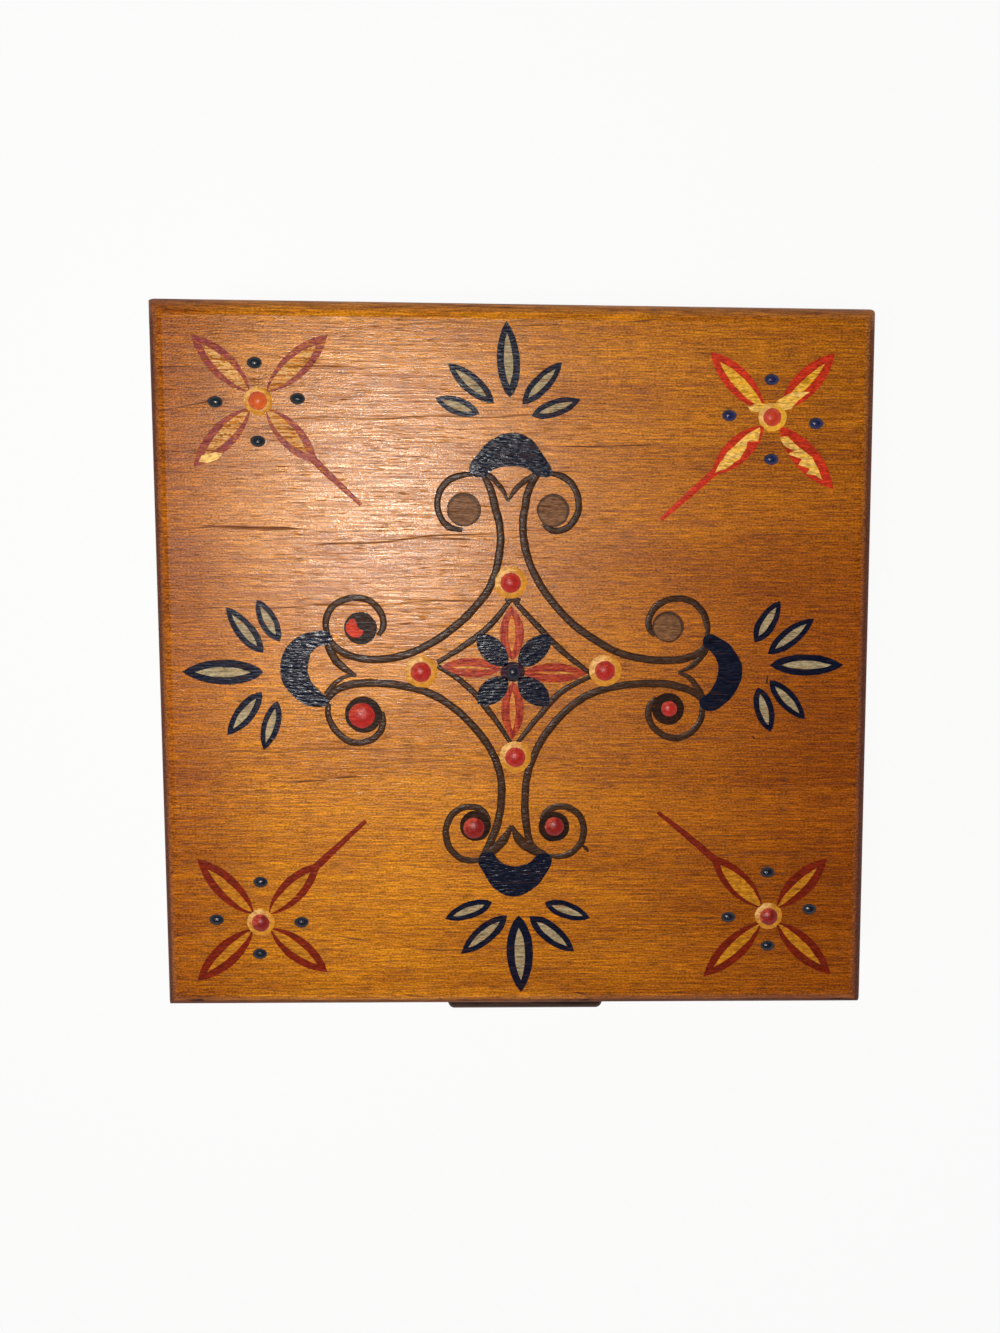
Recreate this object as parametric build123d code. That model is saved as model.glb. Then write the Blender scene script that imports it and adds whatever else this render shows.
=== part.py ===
"""Square hinged trinket box of honey-stained wood, in millimetres.

Four finger-jointed walls stand on a bottom board let into a rabbet and held by brads. A one-board lid
with rounded edges turns on two small brass butt hinges, and a dark thumb tab lifts it at the front. Raised
drops of enamel stand on the lid where its painting is thickest.
+Z is up, the front faces -Y, and the origin is the centre of the underside.
"""

import os
from math import radians, tan

from build123d import *

# Driving dimensions of the box and its lid.
SIDE = 127.0
WALL_HEIGHT = 47.0
WALL_THICKNESS = 9.0
LID_THICKNESS = 9.5
CORNER_RADIUS = 1.2
FOOT_ROUNDING = 1.0
RIM_ROUNDING = 0.5
RIM_INNER_CHAMFER = 0.6
LID_TOP_ROUNDING = 2.8
FINGERS = 5

# The bottom board, its brads and the felt on it.
RABBET_WIDTH = 4.5
BOTTOM_THICKNESS = 3.2
BOTTOM_FIT = 0.1
BRAD_RADIUS = 0.6
BRAD_LENGTH = 13.0
BRAD_HEAD_RADIUS = 1.2
BRAD_HEAD_HEIGHT = 0.5
BRAD_SPACING = 62.0
FELT_THICKNESS = 1.0
FELT_FIT = 0.2

# The two hinges. The pin's axis lies on the joint between lid and wall, inside the back face, and the
# bevels on both sides of it meet when the lid stands open.
HINGE_SPACING = 76.0
HINGE_LENGTH = 22.0
HINGE_INSET = 2.4
LID_OPENING_DEG = 100.0
STOP_CLEARANCE_DEG = 1.0
KNUCKLES = 5
KNUCKLE_GAP = 0.12
BARREL_RADIUS = 1.6
PIN_RADIUS = 0.7
PIN_CLEARANCE = 0.03
PIN_HEAD_RADIUS = 1.1
PIN_HEAD_HEIGHT = 0.5
LEAF_THICKNESS = 0.8
LEAF_GAP = 0.05
LEAF_REACH = 6.3
LEAF_FIT = 0.1
BARREL_FIT = 0.25

# The countersunk wood screws that hold the leaves, two in each.
SCREW_SPACING = 13.0
SCREW_FROM_AXIS = 4.1
SCREW_HEAD_RADIUS = 1.5
SCREW_RADIUS = 0.75
SCREW_LENGTH = 6.5
SCREW_RIM = 0.1
SCREW_POINT = 0.45
SCREW_SLOT_WIDTH = 0.45
SCREW_SLOT_DEPTH = 0.35
HOLE_FIT = 0.02

# The thumb tab on the lid's front edge. It sits a little right of the middle.
TAB_ROOT_WIDTH = 29.6
TAB_TIP_WIDTH = 27.6
TAB_PROJECTION = 2.0
TAB_HEIGHT = 4.8
TAB_ABOVE_JOINT = 0.6
TAB_OFFSET = 1.2
TAB_CORNER_RADIUS = 1.2
TAB_EDGE_RADIUS = 0.9
TONGUE_WIDTH = 20.0
TONGUE_DEPTH = 5.0
TONGUE_THICKNESS = 2.0

# The raised drops of the lid's painting, in plan from the lid's middle, as a hand placed them. A corner
# flower has a red drop on a yellow disc and four navy dots round it, and so has each arm of the middle
# cross a disc and a drop. A scroll's eye has a red drop: x, y and radius.
FLOWERS = [(-44.5, 46.1), (45.3, 44.3), (-46.1, -47.5), (46.1, -46.5)]
BACK_LEFT_DOTS = [(-45.0, 52.6), (-51.9, 45.8), (-37.7, 46.5), (-44.7, 39.1)]
BACK_RIGHT_DOTS = [(45.1, 50.9), (37.7, 44.5), (53.1, 43.3), (45.2, 36.9)]
FRONT_LEFT_DOTS = [(-46.0, -40.0), (-54.0, -47.0), (-38.8, -47.5), (-46.4, -53.4)]
FRONT_RIGHT_DOTS = [(45.8, -38.3), (38.7, -46.7), (53.6, -45.2), (46.0, -52.1)]
CROSS_DISCS = [(-0.8, 14.6), (-16.8, -1.5), (16.0, -1.1), (-0.1, -16.9)]
CROSS_MIDDLE = (-0.4, -1.5)
SCROLL_EYES = [(-27.4, -9.4, 2.4), (27.5, -8.0, 1.5), (-7.6, -30.0, 2.0), (6.9, -29.7, 1.8)]
FLOWER_DISC_RADIUS = 2.5
CROSS_DISC_RADIUS = 2.9
DISC_HEIGHT = 0.3
FLOWER_DROP_RADIUS = 1.6
CROSS_DROP_RADIUS = 1.8
DROP_HEIGHT = 0.6
DOT_LENGTH = 2.6
DOT_WIDTH = 2.0
DOT_HEIGHT = 0.5
MIDDLE_DROP_RADIUS = 1.3
DROP_EASE = 0.7

# Fasteners and drops are small, so their round sections have a few sides.
ROUND_SIDES = 12

# Worked out from the values above.
HALF = SIDE / 2
INNER_HALF = HALF - WALL_THICKNESS
FINGER_HEIGHT = WALL_HEIGHT / FINGERS
AXIS_Y = HALF - HINGE_INSET
BEVEL_DEG = (LID_OPENING_DEG + STOP_CLEARANCE_DEG) / 2
KNUCKLE_PITCH = HINGE_LENGTH / KNUCKLES
KNUCKLE_LENGTH = KNUCKLE_PITCH - KNUCKLE_GAP
SCREW_HEAD_HEIGHT = SCREW_HEAD_RADIUS - SCREW_RADIUS
LID_TOP = WALL_HEIGHT + LID_THICKNESS

BOX_SIDE, LID_SIDE = -1, 1


def block(x, y, z):
    """A cuboid between the low and high values given for each direction."""
    size = [high - low for low, high in (x, y, z)]
    middle = [(high + low) / 2 for low, high in (x, y, z)]
    return Pos(*middle) * Box(*size)


def rod(radius, length, middle_x=0.0):
    """A cylinder along X."""
    return Pos(middle_x, 0, 0) * Rot(0, 90, 0) * Cylinder(radius, length)


def peg(radius, low, high, ease=0.0, top=True):
    """A small round form about Z between two heights, with a section of a few sides and one end eased."""
    body = extrude(Pos(0, 0, low) * RegularPolygon(radius, ROUND_SIDES), high - low)
    end = body.edges().group_by(Axis.Z)[-1 if top else 0]
    return chamfer(end, ease) if ease else body


def mirrored_to(side, shape):
    """The hinge's own frame is drawn for the box side, under the joint: the lid side is its mirror."""
    return shape if side == BOX_SIDE else mirror(shape, about=Plane.XY)


# The hinge, in its own frame: the pin lies along X through the origin and the leaves reach towards -Y.


def screw_form(fit, above):
    """A screw's head and shank, wider by fit, with the head's rim carried up as far as asked."""
    cone = SCREW_HEAD_HEIGHT - SCREW_RIM
    head = peg(SCREW_HEAD_RADIUS + fit, -SCREW_HEAD_HEIGHT, above, cone, top=False)
    return head + peg(SCREW_RADIUS + fit, -SCREW_LENGTH - fit, -SCREW_RIM, SCREW_POINT, top=False)


def screw():
    """One countersunk screw, point down, with its head's top at the origin."""
    slot = block(
        (-SCREW_HEAD_RADIUS, SCREW_HEAD_RADIUS),
        (-SCREW_SLOT_WIDTH / 2, SCREW_SLOT_WIDTH / 2),
        (-SCREW_SLOT_DEPTH, SCREW_SLOT_DEPTH),
    )
    return screw_form(0, 0) - slot


def screw_hole():
    """The screw's own space, a little wider, up through the gap over the leaf."""
    return screw_form(HOLE_FIT, LEAF_GAP)


def at_screws(side, make):
    """What make() gives at each screw of one leaf, slots turned differently as a hand leaves them."""
    placed = []
    for end, turn in ((-1, 20), (1, 65)):
        place = Pos(end * SCREW_SPACING / 2, -SCREW_FROM_AXIS, -LEAF_GAP) * Rot(0, 0, turn)
        placed.append(mirrored_to(side, place * make()))
    return placed


def knuckle_middles(side):
    """The box leaf holds the outer and middle knuckles, and the lid leaf those between."""
    first = 0 if side == BOX_SIDE else 1
    return [KNUCKLE_PITCH * (n - (KNUCKLES - 1) / 2) for n in range(first, KNUCKLES, 2)]


def hinge_leaf(side):
    """A flat leaf with its rolled knuckles, the pin's bore and two countersunk holes."""
    thickness = (-LEAF_GAP - LEAF_THICKNESS, -LEAF_GAP)
    edge = -BARREL_RADIUS - BARREL_FIT
    leaf = block((-HINGE_LENGTH / 2, HINGE_LENGTH / 2), (-LEAF_REACH, edge), thickness)
    for middle in knuckle_middles(side):
        ends = (middle - KNUCKLE_LENGTH / 2, middle + KNUCKLE_LENGTH / 2)
        leaf += block(ends, (edge, -PIN_RADIUS - LEAF_GAP), thickness)
        leaf += rod(BARREL_RADIUS, KNUCKLE_LENGTH, middle)
    leaf -= rod(PIN_RADIUS + PIN_CLEARANCE, HINGE_LENGTH + 1)
    leaf = mirrored_to(side, leaf)
    for hole in at_screws(side, screw_hole):
        leaf -= hole
    return leaf


def hinge_pin():
    """The pin, with its two peened ends."""
    pin = rod(PIN_RADIUS, HINGE_LENGTH)
    for end in (-1, 1):
        face = Plane(origin=(end * HINGE_LENGTH / 2, 0, 0), z_dir=(end, 0, 0))
        head = Cylinder(PIN_HEAD_RADIUS, PIN_HEAD_HEIGHT, align=(Align.CENTER, Align.CENTER, Align.MIN))
        head = chamfer(head.edges().group_by(Axis.Z)[-1], PIN_HEAD_HEIGHT / 2)
        pin += face * head
    return pin


def hinge_seat(side):
    """What one hinge takes out of the wood: a mortise for the leaf, a hollow for the barrel, pilot holes."""
    mortise = block(
        (-HINGE_LENGTH / 2 - LEAF_FIT, HINGE_LENGTH / 2 + LEAF_FIT),
        (-LEAF_REACH - LEAF_FIT, 0),
        (-LEAF_GAP - LEAF_THICKNESS, LEAF_THICKNESS),
    )
    hollow_length = HINGE_LENGTH + 2 * (PIN_HEAD_HEIGHT + BARREL_FIT)
    seat = mirrored_to(side, mortise) + rod(BARREL_RADIUS + BARREL_FIT, hollow_length)
    for hole in at_screws(side, screw_hole):
        seat += hole
    return seat


def hinge_places():
    """The left and the right hinge's places in the box, by name."""
    half = HINGE_SPACING / 2
    return {"left": Pos(-half, AXIS_Y, WALL_HEIGHT), "right": Pos(half, AXIS_Y, WALL_HEIGHT)}


def stop_bevel(side):
    """The wedge that comes off the back edge of the lid or the wall, from the pin's axis outwards."""
    beyond = HINGE_INSET + 1
    rise = side * beyond * tan(radians(BEVEL_DEG))
    wedge = Polygon(
        (AXIS_Y, WALL_HEIGHT),
        (AXIS_Y + beyond, WALL_HEIGHT),
        (AXIS_Y + beyond, WALL_HEIGHT + rise),
        align=None,
    )
    return extrude(Plane.YZ * wedge, SIDE, both=True)


# The walls and what closes them below.


def brad_places():
    """Two brads along each side, in the rabbet's middle."""
    line = INNER_HALF + RABBET_WIDTH / 2
    half = BRAD_SPACING / 2
    return [Rot(0, 0, quarter * 90) * Pos(along, line, 0) for quarter in range(4) for along in (-half, half)]


def brad(fit=0.0):
    """One brad, driven up from the underside with its head flush."""
    head = peg(BRAD_HEAD_RADIUS + fit, 0, BRAD_HEAD_HEIGHT + fit)
    return head + peg(BRAD_RADIUS + fit, 0, BRAD_LENGTH + fit)


def walls_outside():
    """The outer form of the four walls together, with small rounded corners and eased arrises."""
    body = extrude(RectangleRounded(SIDE, SIDE, CORNER_RADIUS), WALL_HEIGHT)
    body = fillet(body.faces().sort_by(Axis.Z)[0].edges(), FOOT_ROUNDING)
    return fillet(body.faces().sort_by(Axis.Z)[-1].edges(), RIM_ROUNDING)


def cut_from_walls():
    """What is cut from the walls once they stand together: the rabbet, the inner rim's chamfer, the stop
    bevel, the hinge seats and the brad holes."""
    rabbet_half = INNER_HALF + RABBET_WIDTH
    rabbet = block((-rabbet_half, rabbet_half), (-rabbet_half, rabbet_half), (0, BOTTOM_THICKNESS))
    low = Pos(0, 0, WALL_HEIGHT - RIM_INNER_CHAMFER) * Rectangle(2 * INNER_HALF, 2 * INNER_HALF)
    wide = 2 * (INNER_HALF + RIM_INNER_CHAMFER)
    high = Pos(0, 0, WALL_HEIGHT) * Rectangle(wide, wide)
    cuts = [rabbet, loft([low.face(), high.face()]), stop_bevel(BOX_SIDE)]
    cuts += [place * hinge_seat(BOX_SIDE) for place in hinge_places().values()]
    cuts += [place * brad(HOLE_FIT) for place in brad_places()]
    return cuts


def corner_fingers(odd):
    """The corner spaces at every other finger height, counted from the foot."""
    spaces = []
    for level in range(1 if odd else 0, FINGERS, 2):
        heights = (level * FINGER_HEIGHT, (level + 1) * FINGER_HEIGHT)
        for x in ((-HALF, -INNER_HALF), (INNER_HALF, HALF)):
            for y in ((-HALF, -INNER_HALF), (INNER_HALF, HALF)):
                spaces.append(block(x, y, heights))
    return spaces


def walls():
    """Front and back hold the lowest, middle and top fingers, and the sides those between."""
    outer = (HALF, INNER_HALF)
    height = (0, WALL_HEIGHT)
    across = (-HALF, HALF)
    boards = {
        "front_wall": (block(across, (-outer[0], -outer[1]), height), True),
        "back_wall": (block(across, (outer[1], outer[0]), height), True),
        "left_wall": (block((-outer[0], -outer[1]), across, height), False),
        "right_wall": (block((outer[1], outer[0]), across, height), False),
    }
    outside, cuts = walls_outside(), cut_from_walls()
    return {
        name: (board - corner_fingers(odd)) & outside - cuts for name, (board, odd) in boards.items()
    }


def bottom_panel():
    half = INNER_HALF + RABBET_WIDTH - BOTTOM_FIT
    panel = block((-half, half), (-half, half), (0, BOTTOM_THICKNESS))
    return panel - [place * brad(HOLE_FIT) for place in brad_places()]


def floor_felt():
    half = INNER_HALF - FELT_FIT
    return block((-half, half), (-half, half), (BOTTOM_THICKNESS, BOTTOM_THICKNESS + FELT_THICKNESS))


# The lid and its thumb tab.


def edge_profile():
    """The lid's cross-section: a wide rounding above and a small one below."""
    section = Rectangle(SIDE, LID_THICKNESS, align=(Align.CENTER, Align.MIN))
    by_height = section.vertices().group_by(Axis.Y)
    section = fillet(by_height[-1], LID_TOP_ROUNDING)
    return fillet(section.vertices().group_by(Axis.Y)[0], RIM_ROUNDING)


def tab_place():
    return Pos(TAB_OFFSET, -HALF, WALL_HEIGHT + TAB_ABOVE_JOINT)


def tab_tongue(depth):
    """The tongue that holds the tab in a slot in the lid's edge, from the lid's face inwards."""
    middle = TAB_HEIGHT / 2
    return block(
        (-TONGUE_WIDTH / 2, TONGUE_WIDTH / 2),
        (0, depth),
        (middle - TONGUE_THICKNESS / 2, middle + TONGUE_THICKNESS / 2),
    )


def thumb_tab():
    """A tapered bar with rounded ends and arrises."""
    root, tip = TAB_ROOT_WIDTH / 2, TAB_TIP_WIDTH / 2
    plan = Polygon((-root, 0), (-tip, -TAB_PROJECTION), (tip, -TAB_PROJECTION), (root, 0), align=None)
    plan = fillet(plan.vertices().group_by(Axis.Y)[0], TAB_CORNER_RADIUS)
    bar = extrude(plan, TAB_HEIGHT)
    levels = bar.faces().filter_by(GeomType.PLANE).sort_by(Axis.Z)
    root_face_y = -TAB_EDGE_RADIUS / 10
    for face in (levels[0], levels[-1]):
        outer = [edge for edge in face.edges() if edge.center().Y < root_face_y]
        bar = fillet(outer, TAB_EDGE_RADIUS)
    return tab_place() * (bar + tab_tongue(TONGUE_DEPTH))


def lid_panel():
    """One board: the edge profile run both ways, with the small corner radius, the stop bevel, the hinge
    seats and the tab's slot."""
    across = extrude(Plane.XZ * edge_profile(), SIDE, both=True)
    along = extrude(Plane.YZ * edge_profile(), SIDE, both=True)
    prism = extrude(RectangleRounded(SIDE, SIDE, CORNER_RADIUS), LID_THICKNESS)
    board = Pos(0, 0, WALL_HEIGHT) * (across & along & prism)
    board -= stop_bevel(LID_SIDE)
    for place in hinge_places().values():
        board -= place * hinge_seat(LID_SIDE)
    return board - tab_place() * tab_tongue(TONGUE_DEPTH + LEAF_FIT)


# The raised drops of paint on the lid.


def drop(place, radius, height, foot=0.0):
    """One drop, its foot so far above the lid's top."""
    return Pos(*place, LID_TOP + foot) * peg(radius, 0, height, height * DROP_EASE)


def yellow_discs():
    """The discs under the red drops of the flowers and the cross."""
    radii = {FLOWER_DISC_RADIUS: FLOWERS, CROSS_DISC_RADIUS: CROSS_DISCS}
    return Compound([drop(at, radius, DISC_HEIGHT) for radius, places in radii.items() for at in places])


def red_drops():
    """Those that stand on the yellow discs, and those in the scrolls' eyes."""
    radii = {FLOWER_DROP_RADIUS: FLOWERS, CROSS_DROP_RADIUS: CROSS_DISCS}
    drops = [drop(at, r, DROP_HEIGHT, foot=DISC_HEIGHT) for r, places in radii.items() for at in places]
    return Compound(drops + [drop((x, y), radius, DROP_HEIGHT) for x, y, radius in SCROLL_EYES])


def navy_drops():
    """The oval dots round the flowers, and the round one in the middle of the cross."""
    oval = scale(drop((0, 0), DOT_WIDTH / 2, DOT_HEIGHT, foot=-LID_TOP), by=(DOT_LENGTH / DOT_WIDTH, 1, 1))
    places = BACK_LEFT_DOTS + BACK_RIGHT_DOTS + FRONT_LEFT_DOTS + FRONT_RIGHT_DOTS
    dots = [Pos(*at, LID_TOP) * oval for at in places]
    return Compound(dots + [drop(CROSS_MIDDLE, MIDDLE_DROP_RADIUS, DROP_HEIGHT)])


def all_parts():
    """Every piece by its node's name."""
    parts = walls()
    parts["bottom_panel"] = bottom_panel()
    parts["bottom_brads"] = Compound([place * brad() for place in brad_places()])
    parts["floor_felt"] = floor_felt()
    parts["lid_panel"] = lid_panel()
    parts["thumb_tab"] = thumb_tab()
    parts["yellow_discs"] = yellow_discs()
    parts["red_drops"] = red_drops()
    parts["navy_drops"] = navy_drops()
    for name, place in hinge_places().items():
        parts[f"{name}_hinge_box_leaf"] = place * hinge_leaf(BOX_SIDE)
        parts[f"{name}_hinge_lid_leaf"] = place * hinge_leaf(LID_SIDE)
        parts[f"{name}_hinge_pin"] = place * hinge_pin()
        parts[f"{name}_hinge_box_screws"] = Compound([place * s for s in at_screws(BOX_SIDE, screw)])
        parts[f"{name}_hinge_lid_screws"] = Compound([place * s for s in at_screws(LID_SIDE, screw)])
    return parts


os.makedirs("parts", exist_ok=True)
for name, shape in all_parts().items():
    export_step(shape, f"parts/{name}.step")
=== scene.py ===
"""The looks of a square wooden trinket box with a painted lid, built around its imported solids.

Laid out as an add-on and run as a script. Plan points, the sizes of patterns and the widths of brush strokes
are in millimetres, with plan points measured from the lid's middle, +X to the right and +Y to the back, as on
the box itself. Everything else is in metres.
"""

from math import cos, pi, radians, sin

import bmesh
import bpy
from bpy.props import FloatProperty, FloatVectorProperty, PointerProperty
from bpy.types import NodeSocket, Operator, Panel, PropertyGroup
from mathutils import Euler, Matrix, Vector, noise


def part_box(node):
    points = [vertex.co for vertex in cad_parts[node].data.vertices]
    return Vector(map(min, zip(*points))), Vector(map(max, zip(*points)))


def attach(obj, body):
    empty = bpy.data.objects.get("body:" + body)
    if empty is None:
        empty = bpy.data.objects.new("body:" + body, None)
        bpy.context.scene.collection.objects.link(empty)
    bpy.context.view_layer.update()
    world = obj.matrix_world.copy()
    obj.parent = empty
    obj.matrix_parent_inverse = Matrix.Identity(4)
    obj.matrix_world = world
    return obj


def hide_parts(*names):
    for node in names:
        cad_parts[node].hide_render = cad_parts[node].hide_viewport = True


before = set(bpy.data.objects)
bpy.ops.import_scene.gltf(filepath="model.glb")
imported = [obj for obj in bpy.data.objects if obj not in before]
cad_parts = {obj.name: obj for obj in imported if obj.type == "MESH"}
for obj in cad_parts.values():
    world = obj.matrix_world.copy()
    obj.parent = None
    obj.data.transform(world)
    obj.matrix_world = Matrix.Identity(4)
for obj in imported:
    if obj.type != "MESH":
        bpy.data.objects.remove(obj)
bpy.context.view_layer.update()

bl_info = {
    "name": "Painted trinket box",
    "version": (1, 0, 0),
    "blender": (4, 5, 0),
    "location": "View3D > Sidebar > Trinket box",
    "description": "Dresses a hinged wooden trinket box: stained wood, painted ornament, brass and felt",
    "category": "Add Mesh",
}

MM = 0.001

# The painting hand strays the same way each time.
HAND_SEED = 7
noise.seed_set(HAND_SEED)

# Places that come from the frame.
LID_LOW, LID_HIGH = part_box("lid_panel")
LID_TOP = LID_HIGH.z
WALL_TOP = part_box("front_wall")[1].z
INNER_HALF = abs(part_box("left_wall")[1].x)

# The way a board's grain runs, and where its growth rings lie, in millimetres.
ALONG_X = 0.0
ALONG_Y = pi / 2
PITH_DEPTH = -85.0
RING_SPACING = 5.5

# The varnish, the height of the grain under it in millimetres, and the walls' share of the patina.
VARNISH = {"ior": 1.5, "specular_ior_level": 0.25}
GRAIN_RELIEF = 0.0155
WALL_PATINA = 0.45

# Faces that meet at less than this many degrees look smooth.
PATCH_SMOOTH = 10.0
STROKE_SMOOTH = 30.0
SOFT_SMOOTH = 60.0


def sizes(name):
    """A length in metres that a user may change."""
    return getattr(bpy.context.scene.trinket_sizes, name)


def colour(name):
    """A colour that a user may change."""
    return tuple(getattr(bpy.context.scene.trinket_colours, name))


def scaled(tone, factor):
    return tuple(factor * part for part in tone)


def length(name, description, millimetres):
    return FloatProperty(
        name=name, description=description, default=millimetres * MM, unit="LENGTH", subtype="DISTANCE", min=0.0
    )


def rgb(name, description, value):
    return FloatVectorProperty(
        name=name, description=description, default=value, size=3, subtype="COLOR", min=0.0, max=1.0
    )


class TrinketSizes(PropertyGroup):
    """The thicknesses and widths of paint and felt."""

    film: length("Film", "Thickness of a filled patch of paint", 0.07)
    film_edge: length("Film edge", "Rounding of a patch's rim", 0.03)
    fill: length("Second film", "Thickness of paint that lies on a first film", 0.10)
    dab: length("Dab", "Thickness of a last dab of paint", 0.13)
    ridge: length("Brush ridge", "Height of a brush stroke one millimetre wide", 0.05)
    unsteady: length("Unsteady hand", "How far a painted edge strays", 0.11)
    seat: length("Seat", "How deep paint has soaked into the wood", 0.02)
    felt_nap: length("Felt nap", "Height of the felt's unevenness", 0.12)


class TrinketColours(PropertyGroup):
    """The colours of the finishes."""

    wood_pale: rgb("Pale wood", "Early wood under the stain", (0.66, 0.240, 0.010))
    wood_deep: rgb("Deep wood", "Late wood under the stain", (0.36, 0.103, 0.003))
    wood_dark: rgb("Dark grain", "Pores and dark growth lines", (0.065, 0.016, 0.004))
    # Patina and shade: the walls' even deepening, and painted shade on the lid towards its right and front.
    patina_and_shade: rgb("Patina", "What the stain's deepening leaves of the colour", (0.59, 0.41, 0.37))
    # Lid edge: the stain's darkening down the lid's rounded edges, together with painted shade there.
    edge: rgb("Lid edge", "What the stain in the lid's edge leaves of the colour", (0.27, 0.19, 0.10))
    end_grain: rgb("End grain", "What the stain in the fingers' ends leaves of the colour", (0.42, 0.33, 0.30))
    bare_wood: rgb("Bare wood", "Unstained wood inside the box", (0.60, 0.36, 0.17))
    tab_wood: rgb("Tab wood", "Dark-stained thumb tab", (0.011, 0.004, 0.003))
    # Tab wear: rubbed arrises, together with a painted sheen on the tab's top front arris.
    tab_wear_and_sheen: rgb("Tab wear", "Rubbed arrises of the tab", (0.050, 0.024, 0.014))
    plywood: rgb("Plywood", "Bottom board", (0.56, 0.36, 0.18))
    brass: rgb("Brass", "Hinges, pins and screws", (0.62, 0.43, 0.17))
    brass_dull: rgb("Dull brass", "Tarnish on the brass", (0.26, 0.17, 0.07))
    steel: rgb("Steel", "Brads", (0.42, 0.40, 0.38))
    felt: rgb("Felt", "Floor felt", (0.23, 0.014, 0.020))
    navy: rgb("Navy paint", "Leaves, crescents and dots", (0.004, 0.005, 0.016))
    umber: rgb("Umber paint", "Scrolls and outlines", (0.052, 0.020, 0.007))
    eye: rgb("Eye paint", "Discs in the scrolls", (0.140, 0.058, 0.022))
    red: rgb("Red paint", "Drops", (0.42, 0.016, 0.010))
    yellow: rgb("Yellow paint", "Discs", (0.64, 0.25, 0.016))
    grey: rgb("Grey paint", "Fills of the navy leaves", (0.33, 0.25, 0.13))


class Nodes:
    """The node tree of a material or a world, built node by node."""

    def __init__(self, holder):
        holder.use_nodes = True
        self.tree = holder.node_tree
        self.tree.nodes.clear()

    def node(self, kind, inputs=None, **attributes):
        """Adds a node. Each input is a constant, or the socket that feeds it."""
        made = self.tree.nodes.new(kind)
        for name, value in attributes.items():
            setattr(made, name, value)
        for key, value in (inputs or {}).items():
            self.put(made.inputs[key], value)
        return made

    def put(self, socket, value):
        if isinstance(value, NodeSocket):
            self.tree.links.new(value, socket)
        else:
            socket.default_value = value

    def math(self, operation, first, second=0.0, clamp=False):
        made = self.node("ShaderNodeMath", {0: first, 1: second}, operation=operation, use_clamp=clamp)
        return made.outputs[0]

    def plus(self, total, *others, clamp=False):
        """A sum, which is clamped as a whole."""
        for value in others[:-1]:
            total = self.math("ADD", total, value)
        return self.math("ADD", total, others[-1], clamp)

    def times(self, product, *others):
        for value in others:
            product = self.math("MULTIPLY", product, value)
        return product

    def span(self, value, low, high, to_low=0.0, to_high=1.0):
        """Value between low and high, carried smoothly to the new limits."""
        inputs = {"Value": value, "From Min": low, "From Max": high, "To Min": to_low, "To Max": to_high}
        return self.node("ShaderNodeMapRange", inputs, interpolation_type="SMOOTHSTEP").outputs[0]


class Finish(Nodes):
    """One procedural material. Its patterns read Object coordinates."""

    def __init__(self, name, **shader_values):
        self.material = bpy.data.materials.new(name)
        super().__init__(self.material)
        self.shader = self.node("ShaderNodeBsdfPrincipled")
        self.node("ShaderNodeOutputMaterial", {"Surface": self.shader.outputs[0]})
        self.set(**shader_values)

    def set(self, **values):
        """Sets the shader's sockets: base_color stands for Base Color, and so on."""
        names = {socket.name.lower().replace(" ", "_"): socket for socket in self.shader.inputs}
        for name, value in values.items():
            self.put(names[name], value)

    def finished(self, tint, roughness, height, relief_mm, strength=1.0):
        """Gives the material its colour, roughness and relief, and returns it."""
        inputs = {"Height": height, "Distance": relief_mm * MM, "Strength": strength}
        self.set(base_color=tint, roughness=roughness, normal=self.node("ShaderNodeBump", inputs).outputs[0])
        return self.material

    def mix(self, share, first, second, blend="MIX"):
        """Two colours mixed, each of them a tone or a socket."""
        made = self.node("ShaderNodeMix", data_type="RGBA", blend_type=blend)
        for index, value in ((0, share), (6, first), (7, second)):
            self.put(made.inputs[index], (*value, 1.0) if isinstance(value, tuple) else value)
        return made.outputs[2]

    def shaded(self, tint, shade):
        """A colour times a grey."""
        grey = self.node("ShaderNodeCombineColor", {0: shade, 1: shade, 2: shade}).outputs[0]
        return self.mix(1.0, tint, grey, "MULTIPLY")

    def stained(self, share, tint, stain):
        """A colour, multiplied by the stain's where its share is high."""
        return self.mix(share, tint, self.mix(1.0, tint, stain, "MULTIPLY"))

    def axes(self, vector=None):
        """The x, y and z of a vector, or of the place on the object in metres."""
        if vector is None:
            vector = self.node("ShaderNodeTexCoord").outputs["Object"]
        return self.node("ShaderNodeSeparateXYZ", {0: vector}).outputs[:]

    def place(self, turn=0.0, shift=(0.0, 0.0, 0.0)):
        """The place on the object in millimetres, turned about Z and shifted."""
        raw = self.node("ShaderNodeTexCoord").outputs["Object"]
        inputs = {"Vector": raw, "Rotation": (0.0, 0.0, turn), "Scale": (1 / MM, 1 / MM, 1 / MM)}
        millimetres = self.node("ShaderNodeMapping", inputs).outputs[0]
        return self.node("ShaderNodeMapping", {"Vector": millimetres, "Location": shift}).outputs[0]

    def noise(self, vector, sizes_mm, detail=2.0, roughness=0.5):
        """Soft noise, 0 to 1 about 0.5, with features of about the given sizes."""
        inputs = {"Vector": vector, "Scale": tuple(1 / size for size in sizes_mm)}
        stretched = self.node("ShaderNodeMapping", inputs).outputs[0]
        inputs = {"Vector": stretched, "Scale": 1.0, "Detail": detail, "Roughness": roughness}
        return self.node("ShaderNodeTexNoise", inputs).outputs[0]


# Stained wood


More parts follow.
